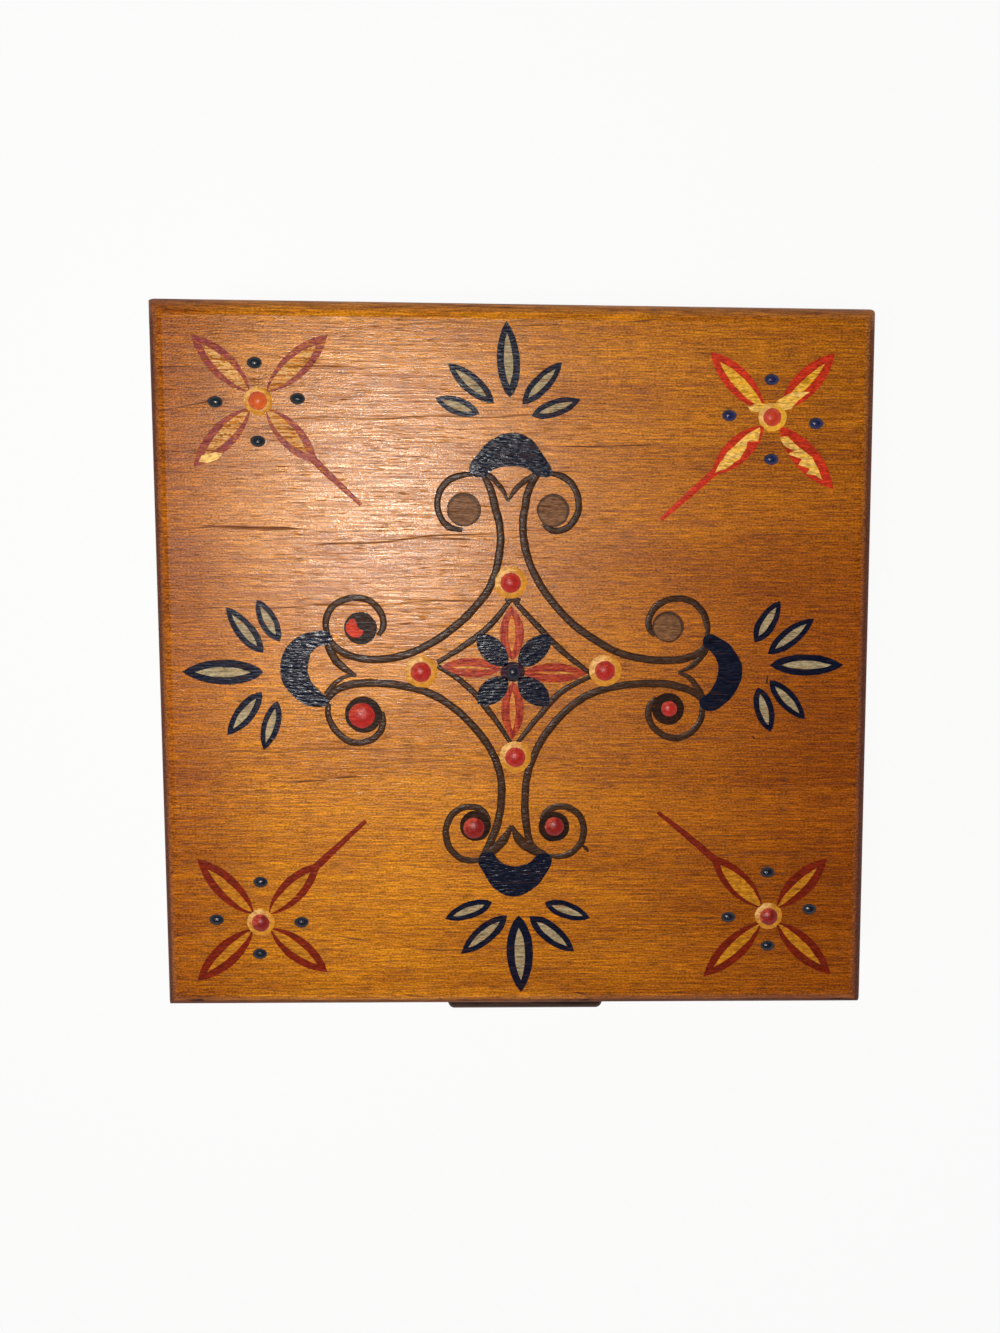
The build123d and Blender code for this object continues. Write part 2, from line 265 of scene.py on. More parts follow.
class Wood(Finish):
    """A finish with one board's pattern: growth rings about a far pith, fibres, pores and dark lines."""

    def __init__(self, name, turn=ALONG_X, shift=(0.0, 0.0, 0.0), long_lines=(), **shader_values):
        super().__init__(name, **shader_values)
        self.at = self.place(turn, shift)
        self.x, self.y, self.z = self.axes(self.at)
        sway = self.noise(self.at, (75.0, 16.0, 16.0), 1.0)
        self.sway = self.times(self.math("SUBTRACT", sway, 0.5), 14.0)
        self.fibre = self.noise(self.at, (13.0, 0.36, 0.36), 2.0, 0.6)
        self.fleck = self.noise(self.at, (2.6, 0.22, 0.22), 1.0, 0.6)
        self.speck = self.noise(self.at, (0.42, 0.26, 0.26), 1.0)
        self.blotch = self.noise(self.at, (42.0, 17.0, 17.0), 2.0)
        self.rings = self._rings()
        self.pores = self._pores()
        self.lines = self._lines()
        for line in long_lines:
            self.lines = self.math("MAXIMUM", self.lines, self._long_line(*line))

    def _rings(self):
        """How far a point is through its year's growth, 0 to 1."""
        inputs = {1: self.plus(self.y, self.sway), 2: self.math("SUBTRACT", self.z, PITH_DEPTH)}
        off_pith = self.node("ShaderNodeCombineXYZ", inputs).outputs[0]
        radius = self.node("ShaderNodeVectorMath", {0: off_pith}, operation="LENGTH").outputs[1]
        return self.math("FRACT", self.math("DIVIDE", radius, RING_SPACING))

    def _pores(self):
        """Short dark dashes along the grain."""
        dashes = self.span(self.noise(self.at, (3.6, 0.20, 0.20), 1.0), 0.60, 0.68)
        crowd = self.span(self.noise(self.at, (14.0, 3.0, 3.0), 2.0), 0.40, 0.62, 0.25, 1.0)
        return self.times(dashes, crowd)

    def _lines(self):
        """Thin dark lines where one year's growth ends, broken along their length."""
        edge = self.span(self.rings, 0.965, 0.992)
        broken = self.span(self.noise(self.at, (22.0, 0.9, 0.9), 3.0), 0.50, 0.66)
        return self.times(edge, broken)

    def _long_line(self, start, start_y, end, end_y, strength):
        """One long dark line from a start to an end, slightly wavy."""
        slope = (end_y - start_y) / (end - start)
        drift = self.times(self.math("SUBTRACT", self.x, start), slope)
        wave = self.times(self.math("SINE", self.times(self.x, 0.33)), 0.22)
        wander = self.times(self.sway, 0.05)
        line = self.plus(self.plus(drift, start_y), self.plus(wave, wander))
        off = self.math("ABSOLUTE", self.math("SUBTRACT", self.y, line))
        thick = self.span(off, 0.05, 0.24, strength, 0.0)
        begins = self.span(self.x, start - 1.5, start + 3.0)
        ends = self.span(self.x, end - 5.0, end + 2.0, 1.0, 0.0)
        broken = self.span(self.fibre, 0.38, 0.58, 0.6, 1.0)
        return self.times(thick, broken, self.times(begins, ends))

    def tint(self, pale, deep, dark, pore_share=0.62):
        """The wood's colour from its three tones."""
        season = self.span(self.rings, 0.25, 0.95, 0.0, 0.20)
        streak = self.span(self.fibre, 0.30, 0.70, 0.0, 0.95)
        patch = self.span(self.blotch, 0.35, 0.70, -0.1, 0.20)
        wood = self.mix(self.plus(season, streak, patch, clamp=True), pale, deep)
        dots = self.plus(self.times(self.fleck, 0.55), self.times(self.speck, 0.45))
        wood = self.shaded(wood, self.span(dots, 0.31, 0.69, 0.50, 1.52))
        wood = self.mix(self.times(self.pores, pore_share), wood, dark)
        return self.mix(self.times(self.lines, 0.92), wood, dark)

    def stain(self):
        """The colour of the wood under its stain."""
        return self.tint(colour("wood_pale"), colour("wood_deep"), colour("wood_dark"))

    def gloss(self, smooth=0.17, rough=0.33):
        """Roughness: fibres stand out of the varnish in streaks, and pores are matt."""
        streaks = self.plus(self.times(self.speck, 0.5), self.times(self.fibre, 0.5))
        matt = self.times(self.math("MAXIMUM", self.pores, self.lines), 0.4)
        return self.plus(self.span(streaks, 0.38, 0.62, smooth, rough), matt, clamp=True)

    def relief(self):
        """Height of the surface: open pores and raised fibres under the varnish."""
        sunk = self.math("MAXIMUM", self.pores, self.lines)
        raised = self.plus(self.fibre, self.fleck, self.times(self.speck, 1.1))
        return self.math("SUBTRACT", raised, self.times(sunk, 0.6))


# The lid's most marked lines: where each starts and ends, and how dark it is.
LID_LINES = [
    (-62.7, 44.2, -49.3, 46.1, 0.95),
    (-39.4, 43.0, 9.1, 44.3, 0.55),
    (-62.7, 23.5, -41.4, 24.4, 0.9),
    (-35.4, 20.8, -0.8, 23.8, 0.85),
    (-61.2, 9.1, -5.7, 11.5, 0.6),
    (-62.7, 34.1, -54.3, 33.3, 0.5),
    (-51.3, -16.2, -11.7, -15.0, 0.6),
    (-29.5, -18.4, 2.2, -17.0, 0.5),
    (-61.2, -23.9, -29.5, -23.0, 0.45),
    (26.0, 20.0, 39.8, 20.8, 0.2),
    (-13.7, 17.4, 0.2, 18.1, 0.45),
    (22.0, -13.7, 61.6, -12.1, 0.4),
    (-19.6, 59.4, 6.1, 60.6, 0.5),
    (24.0, -35.6, 59.6, -34.1, 0.35),
    (-7.7, -52.6, 29.9, -51.5, 0.3),
]

# Paint lets only this many of them through.
LINES_THROUGH_PAINT = 6
LID_GRAIN_SHIFT = (0.0, 0.0, -LID_TOP / MM)


def lid_stain(wood):
    """The lid's colour. Painted shade darkens it towards the right and the front, it is darker towards the left
    edge, and the stain's darkening and painted shade lie down its rounded edges.
    """
    x, y, _ = wood.axes()
    # Painted shade: darker towards the right, and most towards the front, where the lamps' light falls off.
    right = wood.times(wood.span(x, -30 * MM, 66 * MM), wood.span(y, 64 * MM, 4 * MM, 0.3, 1.0))
    # Darker towards the left edge.
    left = wood.span(x, -40 * MM, -63 * MM, 0.0, 0.8)
    tint = wood.stained(wood.math("MAXIMUM", right, left), wood.stain(), colour("patina_and_shade"))
    # Down the rounded edges: the stain's darkening and painted shade, less at the back.
    return wood.stained(lid_edge(wood), tint, colour("edge"))


def lid_edge(wood):
    """0 on the lid's top and underside, and near 1 down its rounded edges, but half as much at the back, which
    the light reaches. The lid's colour uses it for the stain's darkening and painted shade.
    """
    _, y, z = wood.axes()
    down = wood.span(z, LID_TOP - 0.03 * MM, LID_TOP - 0.8 * MM, 0.0, 0.95)
    above = wood.span(z, LID_LOW.z + 0.1 * MM, LID_LOW.z + 0.5 * MM)
    return wood.times(down, above, wood.span(y, 59 * MM, 62 * MM, 1.0, 0.5))


def lid_wood():
    """The lid's stained and varnished wood, duller down its edges."""
    wood = Wood("Lid wood", ALONG_X, LID_GRAIN_SHIFT, LID_LINES, **VARNISH)
    gloss = wood.plus(wood.gloss(), wood.times(lid_edge(wood), 0.45))
    return wood.finished(lid_stain(wood), gloss, wood.relief(), GRAIN_RELIEF)


def wall_wood(name, turn, shift):
    """A wall's wood: varnished outside, darker on the ends of its fingers, and bare inside the box."""
    wood = Wood(name, turn, shift, **VARNISH)
    tint = wood.stained(WALL_PATINA, wood.stain(), colour("patina_and_shade"))
    tint = wood.stained(end_grain(wood, turn), tint, colour("end_grain"))
    inside, bare = inside_share(wood), colour("bare_wood")
    tint = wood.mix(inside, tint, wood.tint(bare, scaled(bare, 0.8), scaled(bare, 0.45), 0.4))
    gloss = wood.plus(wood.gloss(), wood.times(inside, 0.25))
    return wood.finished(tint, gloss, wood.relief(), GRAIN_RELIEF)


def end_grain(wood, turn):
    """Up to 0.9 on the ends of a wall's fingers, which soak up more stain."""
    along = wood.axes()[0 if turn == ALONG_X else 1]
    return wood.span(wood.math("ABSOLUTE", along), LID_HIGH.x - 0.3 * MM, LID_HIGH.x - 0.1 * MM, 0.0, 0.9)


def inside_share(wood):
    """1 on the faces that look into the closed box, and 0 outside."""
    x, y, z = wood.axes()
    reach = wood.math("MAXIMUM", wood.math("ABSOLUTE", x), wood.math("ABSOLUTE", y))
    within = wood.span(reach, INNER_HALF + 0.2 * MM, INNER_HALF + 0.6 * MM, 1.0, 0.0)
    return wood.times(within, wood.span(z, WALL_TOP + 0.2 * MM, WALL_TOP + 0.5 * MM, 1.0, 0.0))


def tab_wood():
    """Very dark wood, paler along its top front arris: partly wear, partly a painted sheen."""
    wood = Wood("Dark tab wood", shift=(31.0, 12.0, 5.0), **VARNISH)
    low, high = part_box("thumb_tab")
    _, y, z = wood.axes()
    top = wood.span(z, high.z - 0.9 * MM, high.z - 0.1 * MM)
    front = wood.span(y, low.y + 0.4 * MM, low.y + 1.6 * MM, 1.0, 0.0)
    # Paler along the top front arris: wear and a painted sheen.
    rubbed = wood.times(top, front, wood.span(wood.fibre, 0.35, 0.6, 0.25, 1.0))
    dark = wood.mix(wood.span(wood.fibre, 0.3, 0.7, 0.0, 0.5), colour("tab_wood"), colour("wood_dark"))
    tint = wood.mix(rubbed, dark, colour("tab_wear_and_sheen"))
    return wood.finished(tint, wood.span(wood.fibre, 0.3, 0.7, 0.3, 0.45), wood.relief(), 0.04, 0.5)


def plywood():
    """Bare plywood with a little grime in patches."""
    wood = Wood("Plywood", shift=(-14.0, 40.0, 130.0), ior=1.45)
    pale = colour("plywood")
    tint = wood.tint(pale, scaled(pale, 0.78), scaled(pale, 0.4), 0.35)
    grime = wood.span(wood.noise(wood.at, (9.0, 9.0, 9.0), 4.0), 0.5, 0.75, 0.0, 0.3)
    tint = wood.mix(grime, tint, colour("wood_deep"))
    return wood.finished(tint, wood.span(wood.fibre, 0.3, 0.7, 0.55, 0.75), wood.relief(), 0.05, 0.6)


# Metal and felt


def brass():
    """Old satin brass: fine scratches, and tarnish in patches."""
    look = Finish("Old brass", metallic=1.0)
    at = look.place()
    tarnish = look.span(look.noise(at, (2.4, 2.4, 2.4), 4.0, 0.6), 0.45, 0.72)
    scratch = look.noise(at, (3.0, 0.07, 0.07), 2.0)
    tint = look.mix(look.times(tarnish, 0.7), colour("brass"), colour("brass_dull"))
    gloss = look.plus(look.span(tarnish, 0.0, 1.0, 0.24, 0.44), look.span(scratch, 0.4, 0.7, 0.0, 0.12))
    return look.finished(tint, gloss, look.plus(scratch, tarnish), 0.01, 0.5)


def steel():
    """Plain brad heads with a first bloom of rust."""
    look = Finish("Brad steel", metallic=1.0)
    at = look.place()
    rust = look.span(look.noise(at, (0.7, 0.7, 0.7), 3.0), 0.52, 0.68)
    tint = look.mix(rust, colour("steel"), colour("wood_dark"))
    gloss = look.span(rust, 0.0, 1.0, 0.32, 0.7)
    return look.finished(tint, gloss, look.noise(at, (0.3, 0.3, 0.3), 2.0), 0.02, 0.4)


def felt():
    """Pressed wool felt: tangled fibres, worn a little flat here and there."""
    look = Finish("Wine felt", sheen_weight=0.6, sheen_roughness=0.45)
    at = look.place()
    tangle = look.noise(at, (0.35, 0.35, 0.35), 5.0, 0.65)
    lay = look.noise(at, (11.0, 7.0, 9.0), 3.0)
    hair = look.noise(look.place(turn=0.7), (1.9, 0.12, 0.4), 2.0)
    shade = look.plus(
        look.span(tangle, 0.3, 0.7, 0.55, 1.25),
        look.span(lay, 0.3, 0.7, -0.18, 0.22),
        look.span(hair, 0.58, 0.72, 0.0, 0.35),
    )
    return look.finished(look.shaded(colour("felt"), shade), 0.95, look.plus(tangle, hair), 0.12, 0.9)


# Paint

# How far a point of a drop lies to its back left side, where the enamel paints a highlight.
LIT_SIDE_ATTRIBUTE = "side"
THICK_PAINT = {"relief": 0.09, "gleam": 0.14}


def paint(name, tone, wear, rough, second=None, under=None, relief=0.04, cracks=0.5, gleam=0.1, turn=ALONG_X):
    """Brushed paint on the lid's grain. Wear is the share that has gone thin and lets the wood show, or the
    tone under it. The second tone is what the brush left in streaks along its turn. Relief is its ridges'
    height in millimetres, cracks how much of the wood's pores shows, and gleam its specular level."""
    lines = LID_LINES[:LINES_THROUGH_PAINT]
    wood = Wood(name, ALONG_X, LID_GRAIN_SHIFT, lines, ior=1.5, specular_ior_level=gleam)
    brush = wood.noise(wood.place(turn, (7.0, 3.0, 0.0)), (2.8, 0.5, 1.0), 3.0, 0.6)
    ridges = wood.noise(wood.at, (1.7, 0.42, 0.6), 1.0)
    flecks = wood.noise(wood.at, (0.8, 0.26, 0.26), 1.0)
    tint = wood.mix(wood.span(brush, 0.36, 0.64), tone, second or scaled(tone, 1.35))
    tint = wood.shaded(tint, wood.span(flecks, 0.30, 0.70, 0.66, 1.34))
    threadbare = wood.plus(wood.times(flecks, 0.6), wood.times(wood.fibre, 0.4))
    thin = wood.span(threadbare, 0.70 - 0.55 * wear, 0.75 - 0.55 * wear, 0.0, min(1.0, 0.6 + wear))
    tint = wood.mix(thin, tint, under or lid_stain(wood))
    for gap in (wood.pores, wood.lines):
        tint = wood.mix(wood.times(gap, cracks), tint, colour("wood_dark"))
    height = wood.plus(wood.times(wood.relief(), 0.12), ridges)
    return wood.finished(tint, wood.gloss(rough, rough + 0.14), height, relief)


def enamel(name, tones, rough, gleam):
    """Thick enamel, as in the raised drops, rubbed to a satin. Its tones are the front's, the middle's, the
    back left's and the back right's, and a paler one painted on each drop's back left side as a highlight."""
    look = Finish(name, ior=1.5, specular_ior_level=gleam)
    at = look.place()
    front, middle, back_left, back_right, worn = tones
    x, y, _ = look.axes(at)
    back = look.mix(look.span(x, -5.0, 5.0), back_left, back_right)
    tint = look.mix(look.span(y, -27.0, -18.0), front, middle)
    tint = look.mix(look.span(y, 30.0, 36.0), tint, back)
    cloud = look.noise(at, (0.9, 0.6, 0.8), 3.0, 0.6)
    rubbed = look.noise(at, (0.5, 0.2, 0.5), 2.0, 0.6)
    # Painted highlight: the last tone, laid in patches over each drop's back left side, towards the lamps.
    side = look.node("ShaderNodeAttribute", attribute_name=LIT_SIDE_ATTRIBUTE).outputs["Fac"]
    patch = look.plus(look.times(side, 0.5), look.times(cloud, 1.1))
    tint = look.mix(look.span(patch, 0.62, 0.92, 0.0, 0.85), tint, worn)
    tint = look.shaded(tint, look.span(cloud, 0.3, 0.7, 0.72, 1.15))
    return look.finished(tint, look.span(rubbed, 0.3, 0.7, rough, rough + 0.14), rubbed, 0.03)


def assign(node, material):
    """Gives a CAD node its finish."""
    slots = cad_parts[node].data.materials
    slots.clear()
    slots.append(material)


def placed(name, data):
    """An object in the scene."""
    made = bpy.data.objects.new(name, data)
    bpy.context.scene.collection.objects.link(made)
    return made


def piece(name, bm, material, smooth_degrees=PATCH_SMOOTH, body="lid"):
    """Makes a finished piece of a bmesh, riding on a body."""
    mesh = bpy.data.meshes.new(name)
    bmesh.ops.recalc_face_normals(bm, faces=bm.faces)
    bm.to_mesh(mesh)
    bm.free()
    mesh.polygons.foreach_set("use_smooth", [True] * len(mesh.polygons))
    mesh.set_sharp_from_angle(angle=radians(smooth_degrees))
    mesh.materials.append(material)
    made = placed(name, mesh)
    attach(made, body)
    return made


def meshed(curve):
    """The mesh that a curve gives, as a bmesh."""
    holder = placed("curve", curve)
    graph = bpy.context.evaluated_depsgraph_get()
    mesh = bpy.data.meshes.new_from_object(holder.evaluated_get(graph))
    bm = bmesh.new()
    bm.from_mesh(mesh)
    bpy.data.objects.remove(holder)
    bpy.data.meshes.remove(mesh)
    bmesh.ops.remove_doubles(bm, verts=bm.verts, dist=0.002 * MM)
    return bm


def cut_below(bm, height):
    """Cuts away what is below a height and closes the cut."""
    geometry = bm.verts[:] + bm.edges[:] + bm.faces[:]
    bmesh.ops.bisect_plane(
        bm, geom=geometry, dist=0.0001 * MM, plane_co=(0, 0, height), plane_no=(0, 0, 1), clear_inner=True
    )
    close(bm)


def close(bm):
    """Fills each open rim with a face."""
    bmesh.ops.holes_fill(bm, edges=[edge for edge in bm.edges if edge.is_boundary], sides=0)


def laid_on_lid(bm):
    """Cuts a form at the lid's top, gives it the hand's unsteadiness and sinks its foot into the wood."""
    cut_below(bm, 0.0)
    for vert in bm.verts:
        stray = noise.noise_vector(vert.co / (1.6 * MM)) * sizes("unsteady")
        vert.co.x += stray.x
        vert.co.y += stray.y
        vert.co.z += LID_TOP - (sizes("seat") if vert.co.z < 0.001 * MM else 0.0)
    return bm


def knots(spline, points, closed):
    """Gives a spline its knots: plan points, or (point, handle before, handle after)."""
    spline.bezier_points.add(len(points) - 1)
    for knot, point in zip(spline.bezier_points, points):
        if len(point) == 3:
            centre, before, after = (Vector((x, y, 0)) * MM for x, y in point)
            knot.handle_left_type = knot.handle_right_type = "FREE"
            knot.co, knot.handle_left, knot.handle_right = centre, before, after
        else:
            knot.co = Vector((*point, 0)) * MM
            knot.handle_left_type = knot.handle_right_type = "AUTO"
    spline.use_cyclic_u = closed


def strokes(lines):
    """Brush strokes as low round ridges. A line is its points and its widths, which are two, for its middle and
    its ends, or one for each point."""
    curve = bpy.data.curves.new("strokes", "CURVE")
    curve.dimensions = "3D"
    curve.bevel_depth = 0.5 * MM
    curve.bevel_resolution = 3
    curve.resolution_u = 7
    curve.use_fill_caps = True
    for points, widths in lines:
        spline = curve.splines.new("BEZIER")
        knots(spline, points, closed=False)
        if len(widths) != len(points):
            middle, end = widths
            widths = [end] + [middle] * (len(points) - 2) + [end]
        for knot, width in zip(spline.bezier_points, widths):
            knot.radius = width
    bm = meshed(curve)
    bmesh.ops.scale(bm, vec=(1, 1, sizes("ridge") / curve.bevel_depth), verts=bm.verts)
    return laid_on_lid(bm)


def patches(outlines, height_name="film"):
    """Filled patches of paint with rounded rims."""
    edge = sizes("film_edge")
    curve = bpy.data.curves.new("patches", "CURVE")
    curve.dimensions = "2D"
    curve.fill_mode = "BOTH"
    curve.extrude = sizes(height_name) - edge
    curve.bevel_depth = edge
    curve.bevel_resolution = 2
    curve.offset = -edge
    curve.resolution_u = 9
    for points in outlines:
        knots(curve.splines.new("BEZIER"), points, closed=True)
    return laid_on_lid(meshed(curve))


def leaf(base, tip, width, blunt=0.26, sharp=0.30):
    """A leaf's outline from base to tip: blunt and sharp are its handles' shares of its length."""
    base, tip = Vector(base), Vector(tip)
    along = tip - base
    side = Vector((-along.y, along.x)).normalized() * width * 2 / 3
    low, high = along * blunt, along * -sharp
    return [(base, base + low - side, base + low + side), (tip, tip + high + side, tip + high - side)]


def inner_leaf(base, tip, width, rim):
    """The fill of an outlined leaf, inside its rim and shorter at both ends."""
    base, tip = Vector(base), Vector(tip)
    inset = (tip - base) * INNER_LEAF_INSET
    return leaf(base + inset, tip - inset, max(width - 2 * rim, 0.5))


def ragged(points):
    """An outline with straight sides."""
    return [(point, point, point) for point in points]


def disc(x, y, radius, stretch=1.0):
    """A round patch, as four knots."""
    arc = CIRCLE_HANDLE * radius
    outline = []
    for quarter in range(4):
        angle = quarter * pi / 2
        out, on = Vector((cos(angle) * stretch, sin(angle))), Vector((-sin(angle) * stretch, cos(angle)))
        centre = Vector((x, y)) + out * radius
        outline.append((centre, centre - on * arc, centre + on * arc))
    return outline


def joined(*parts):
    """One bmesh of several."""
    whole = bmesh.new()
    for part in parts:
        scrap = bpy.data.meshes.new("scrap")
        part.to_mesh(scrap)
        part.free()
        whole.from_mesh(scrap)
        bpy.data.meshes.remove(scrap)
    return whole


# The ornament, as measured on the lid: plan points in millimetres. A leaf is its base, tip and width.

FANS = {
    "back": [
        ((-0.8, 47.1), (-1.4, 60.4), 4.0),
        ((-3.7, 46.2), (-11.6, 53.0), 3.4),
        ((-6.2, 44.3), (-13.9, 46.9), 3.1),
        ((1.3, 46.0), (8.2, 53.4), 3.2),
        ((2.9, 44.0), (11.5, 47.0), 3.0),
    ],
    "front": [
        ((0.4, -46.3), (0.8, -60.8), 4.8),
        ((-1.7, -46.3), (-10.1, -53.5), 3.6),
        ((-4.4, -43.8), (-12.9, -46.9), 3.2),
        ((2.4, -46.4), (10.5, -53.2), 3.6),
        ((5.1, -43.9), (13.4, -46.9), 3.2),
    ],
    "left": [
        ((-44.6, -1.7), (-58.9, -1.7), 4.5),
        ((-44.6, 1.7), (-50.9, 9.9), 3.4),
        ((-41.7, 3.8), (-45.5, 11.3), 3.3),
        ((-45.0, -5.2), (-51.2, -13.1), 3.4),
        ((-42.2, -6.9), (-44.9, -15.8), 3.2),
    ],
    "right": [
        ((45.6, 0.1), (58.9, 0.1), 3.9),
        ((45.2, 2.0), (53.4, 8.6), 3.3),
        ((42.8, 4.1), (47.2, 11.7), 3.4),
        ((45.6, -2.7), (52.1, -9.8), 3.3),
        ((43.5, -4.0), (45.9, -12.2), 3.5),
    ],
}
FAN_RIM_SHARE = 0.3
INNER_LEAF_INSET = 0.16

CRESCENTS = {
    "back": [(-7.9, 34.0), (-6.1, 37.8), (-3.2, 40.3), (-0.2, 41.0), (2.6, 40.1), (4.8, 37.4), (6.2, 33.7),
             (4.3, 33.5), (2.0, 34.8), (-1.0, 35.2), (-3.7, 34.6), (-5.5, 33.2)],
    "front": [(-6.7, -35.2), (-5.6, -38.8), (-3.2, -41.8), (-0.4, -42.7), (2.6, -41.6), (5.2, -38.8),
              (6.2, -35.2), (4.6, -34.7), (2.2, -36.4), (-0.4, -37.1), (-3.0, -36.1), (-4.7, -34.3)],
    "left": [(-32.6, 5.1), (-35.8, 5.6), (-39.4, 4.0), (-41.4, 0.8), (-41.4, -3.0), (-39.3, -6.1),
             (-36.0, -7.8), (-33.1, -7.0), (-34.7, -5.1), (-36.5, -2.8), (-36.7, 0.0), (-35.3, 2.7),
             (-32.8, 3.6)],
    "right": [(34.0, 5.4), (36.9, 4.7), (39.5, 2.2), (40.6, -0.9), (39.9, -4.0), (37.7, -6.9), (34.9, -8.4),
              (33.0, -6.9), (34.9, -4.7), (36.1, -2.2), (36.1, 0.6), (34.8, 2.6), (33.5, 3.8)],
}

# Each long curve bounds the cross between two arms, and runs on under the crescents.
CROSS_CURVES = [
    [(4.2, 34.3), (2.6, 31.5), (1.8, 28.5), (1.4, 24.6), (1.9, 20.2), (3.6, 15.8), (6.4, 11.4), (10.1, 7.4),
     (14.1, 4.5), (18.0, 2.3), (22.0, 1.2), (26.9, 0.8), (31.1, 1.4), (33.5, 2.7), (34.7, 4.6)],
    [(-5.7, 33.9), (-4.4, 31.3), (-3.6, 28.3), (-2.7, 24.4), (-2.9, 19.2), (-4.3, 14.3), (-7.2, 10.1),
     (-11.2, 6.3), (-15.6, 3.3), (-20.1, 1.4), (-25.0, 0.7), (-28.5, 1.1), (-31.3, 2.4), (-33.1, 4.3)],
    [(-6.1, -35.2), (-4.5, -32.3), (-3.5, -29.7), (-2.7, -25.3), (-2.8, -20.4), (-4.2, -16.2),
     (-7.2, -11.8), (-10.7, -8.3), (-14.6, -5.7), (-19.6, -4.1), (-24.5, -3.6), (-28.9, -3.8),
     (-31.9, -4.9), (-33.7, -6.7)],
    [(5.2, -35.0), (2.8, -33.3), (2.0, -30.3), (1.6, -25.3), (2.1, -20.1), (3.8, -15.4), (6.4, -11.3),
     (9.6, -7.9), (13.1, -5.5), (18.0, -4.0), (24.0, -3.4), (28.5, -3.8), (31.9, -5.0), (34.1, -6.9)],
]
CROSS_WIDTHS = (1.5, 1.1)

SCROLL_LOOPS = [
    [(-7.1, 33.8), (-10.2, 33.3), (-12.5, 31.7), (-13.6, 29.0), (-13.2, 26.3), (-11.6, 24.4), (-9.3, 23.9)],
    [(5.8, 34.1), (8.5, 33.4), (10.5, 31.4), (11.2, 28.5), (10.5, 25.9), (8.7, 24.2), (6.5, 24.0), (4.8, 25.1)],
    [(-33.2, 4.6), (-33.5, 7.3), (-32.5, 9.8), (-30.3, 11.3), (-27.7, 11.7), (-25.2, 10.8), (-23.7, 8.8),
     (-23.4, 6.6), (-24.3, 5.0)],
    [(-33.3, -7.3), (-33.3, -9.7), (-31.8, -12.4), (-29.7, -14.1), (-27.1, -14.3), (-24.8, -13.1),
     (-23.7, -11.0), (-23.8, -8.7)],
    [(34.3, 4.8), (34.1, 7.7), (32.9, 10.2), (30.8, 11.7), (28.2, 11.9), (25.7, 11.0), (24.1, 9.1),
     (23.8, 6.9), (24.8, 5.2)],
    [(33.5, -6.9), (33.4, -9.3), (32.3, -11.5), (30.3, -13.0), (27.9, -13.3), (25.7, -12.3), (24.1, -10.3),
     (23.9, -7.9), (25.2, -5.9)],
    [(-6.3, -35.8), (-8.9, -36.0), (-11.0, -34.9), (-12.5, -32.3), (-12.4, -29.3), (-11.0, -27.1),
     (-8.5, -26.1), (-6.1, -26.7), (-4.8, -28.5)],
    [(6.0, -35.2), (8.8, -35.1), (10.9, -33.8), (12.1, -31.5), (12.0, -28.9), (10.5, -26.8), (8.0, -26.0),
     (5.8, -26.7), (4.4, -28.5)],
]
LOOP_WIDTHS = (1.3, 0.9)

# The V between each arm's curves, as pairs of strokes that meet in its point, with the widths along each.
ARM_POINTS = [
    ([(-6.1, 34.1), (-4.3, 33.3), (-2.6, 31.5), (-1.2, 29.0)], (1.2, 1.1, 1.0, 0.5)),
    ([(-1.2, 29.0), (0.0, 31.0), (1.8, 32.7), (4.4, 34.1)], (0.5, 1.0, 1.1, 1.2)),
    ([(-6.1, -35.2), (-4.2, -34.1), (-2.3, -32.2), (-0.8, -29.5)], (1.4, 1.9, 1.8, 0.7)),
    ([(-0.8, -29.5), (0.4, -31.9), (2.2, -33.7), (5.1, -35.0)], (0.7, 1.8, 1.8, 1.3)),
    ([(-33.4, 4.0), (-32.5, 1.6), (-30.8, -0.6), (-28.3, -2.2)], (1.4, 1.6, 1.5, 0.6)),
    ([(-28.3, -2.2), (-30.1, -2.4), (-31.9, -3.5), (-33.7, -5.7)], (0.6, 0.8, 0.9, 1.0)),
    ([(34.5, 3.8), (33.4, 1.7), (31.5, -0.2), (29.1, -1.4)], (1.2, 1.2, 1.1, 0.5)),
    ([(29.1, -1.4), (30.9, -2.2), (32.5, -4.0), (33.9, -6.5)], (0.5, 1.0, 1.2, 1.2)),
]

DIAMOND_SIDES = [
    [(-0.4, 11.6), (3.8, 7.0), (8.3, 2.4), (13.3, -1.6)],
    [(-0.8, 11.6), (-4.3, 7.2), (-8.5, 3.7), (-13.9, 0.2)],
    [(-13.9, -0.4), (-9.1, -3.6), (-5.3, -7.9), (-0.8, -14.4)],
    [(13.3, -2.2), (8.3, -4.9), (4.6, -8.9), (0.2, -14.4)],
    [(-1.8, 11.4), (-0.5, 11.8), (0.8, 11.3)],
]
DIAMOND_WIDTHS = (1.25, 0.9)

MIDDLE_PETALS = [
    ((-0.6, 0.6), (-0.7, 10.5), 4.3),
    ((-2.4, -0.9), (-13.3, -0.5), 3.5),
    ((1.1, -1.5), (12.8, -1.6), 3.5),
    ((-0.5, -3.2), (-0.6, -13.7), 4.1),
]
MIDDLE_LEAVES = [
    ((-1.5, -0.3), (-6.8, 5.3), 4.2),
    ((0.6, -0.3), (6.2, 5.3), 4.2),
    ((-1.5, -2.5), (-6.8, -7.3), 4.3),
    ((0.5, -2.5), (6.0, -7.5), 4.3),
]
MIDDLE_RIM = 1.5

# Its x, y, radius and stretch sideways.
MIDDLE_BEAD = (-0.5, -1.4, 1.75, 1.25)

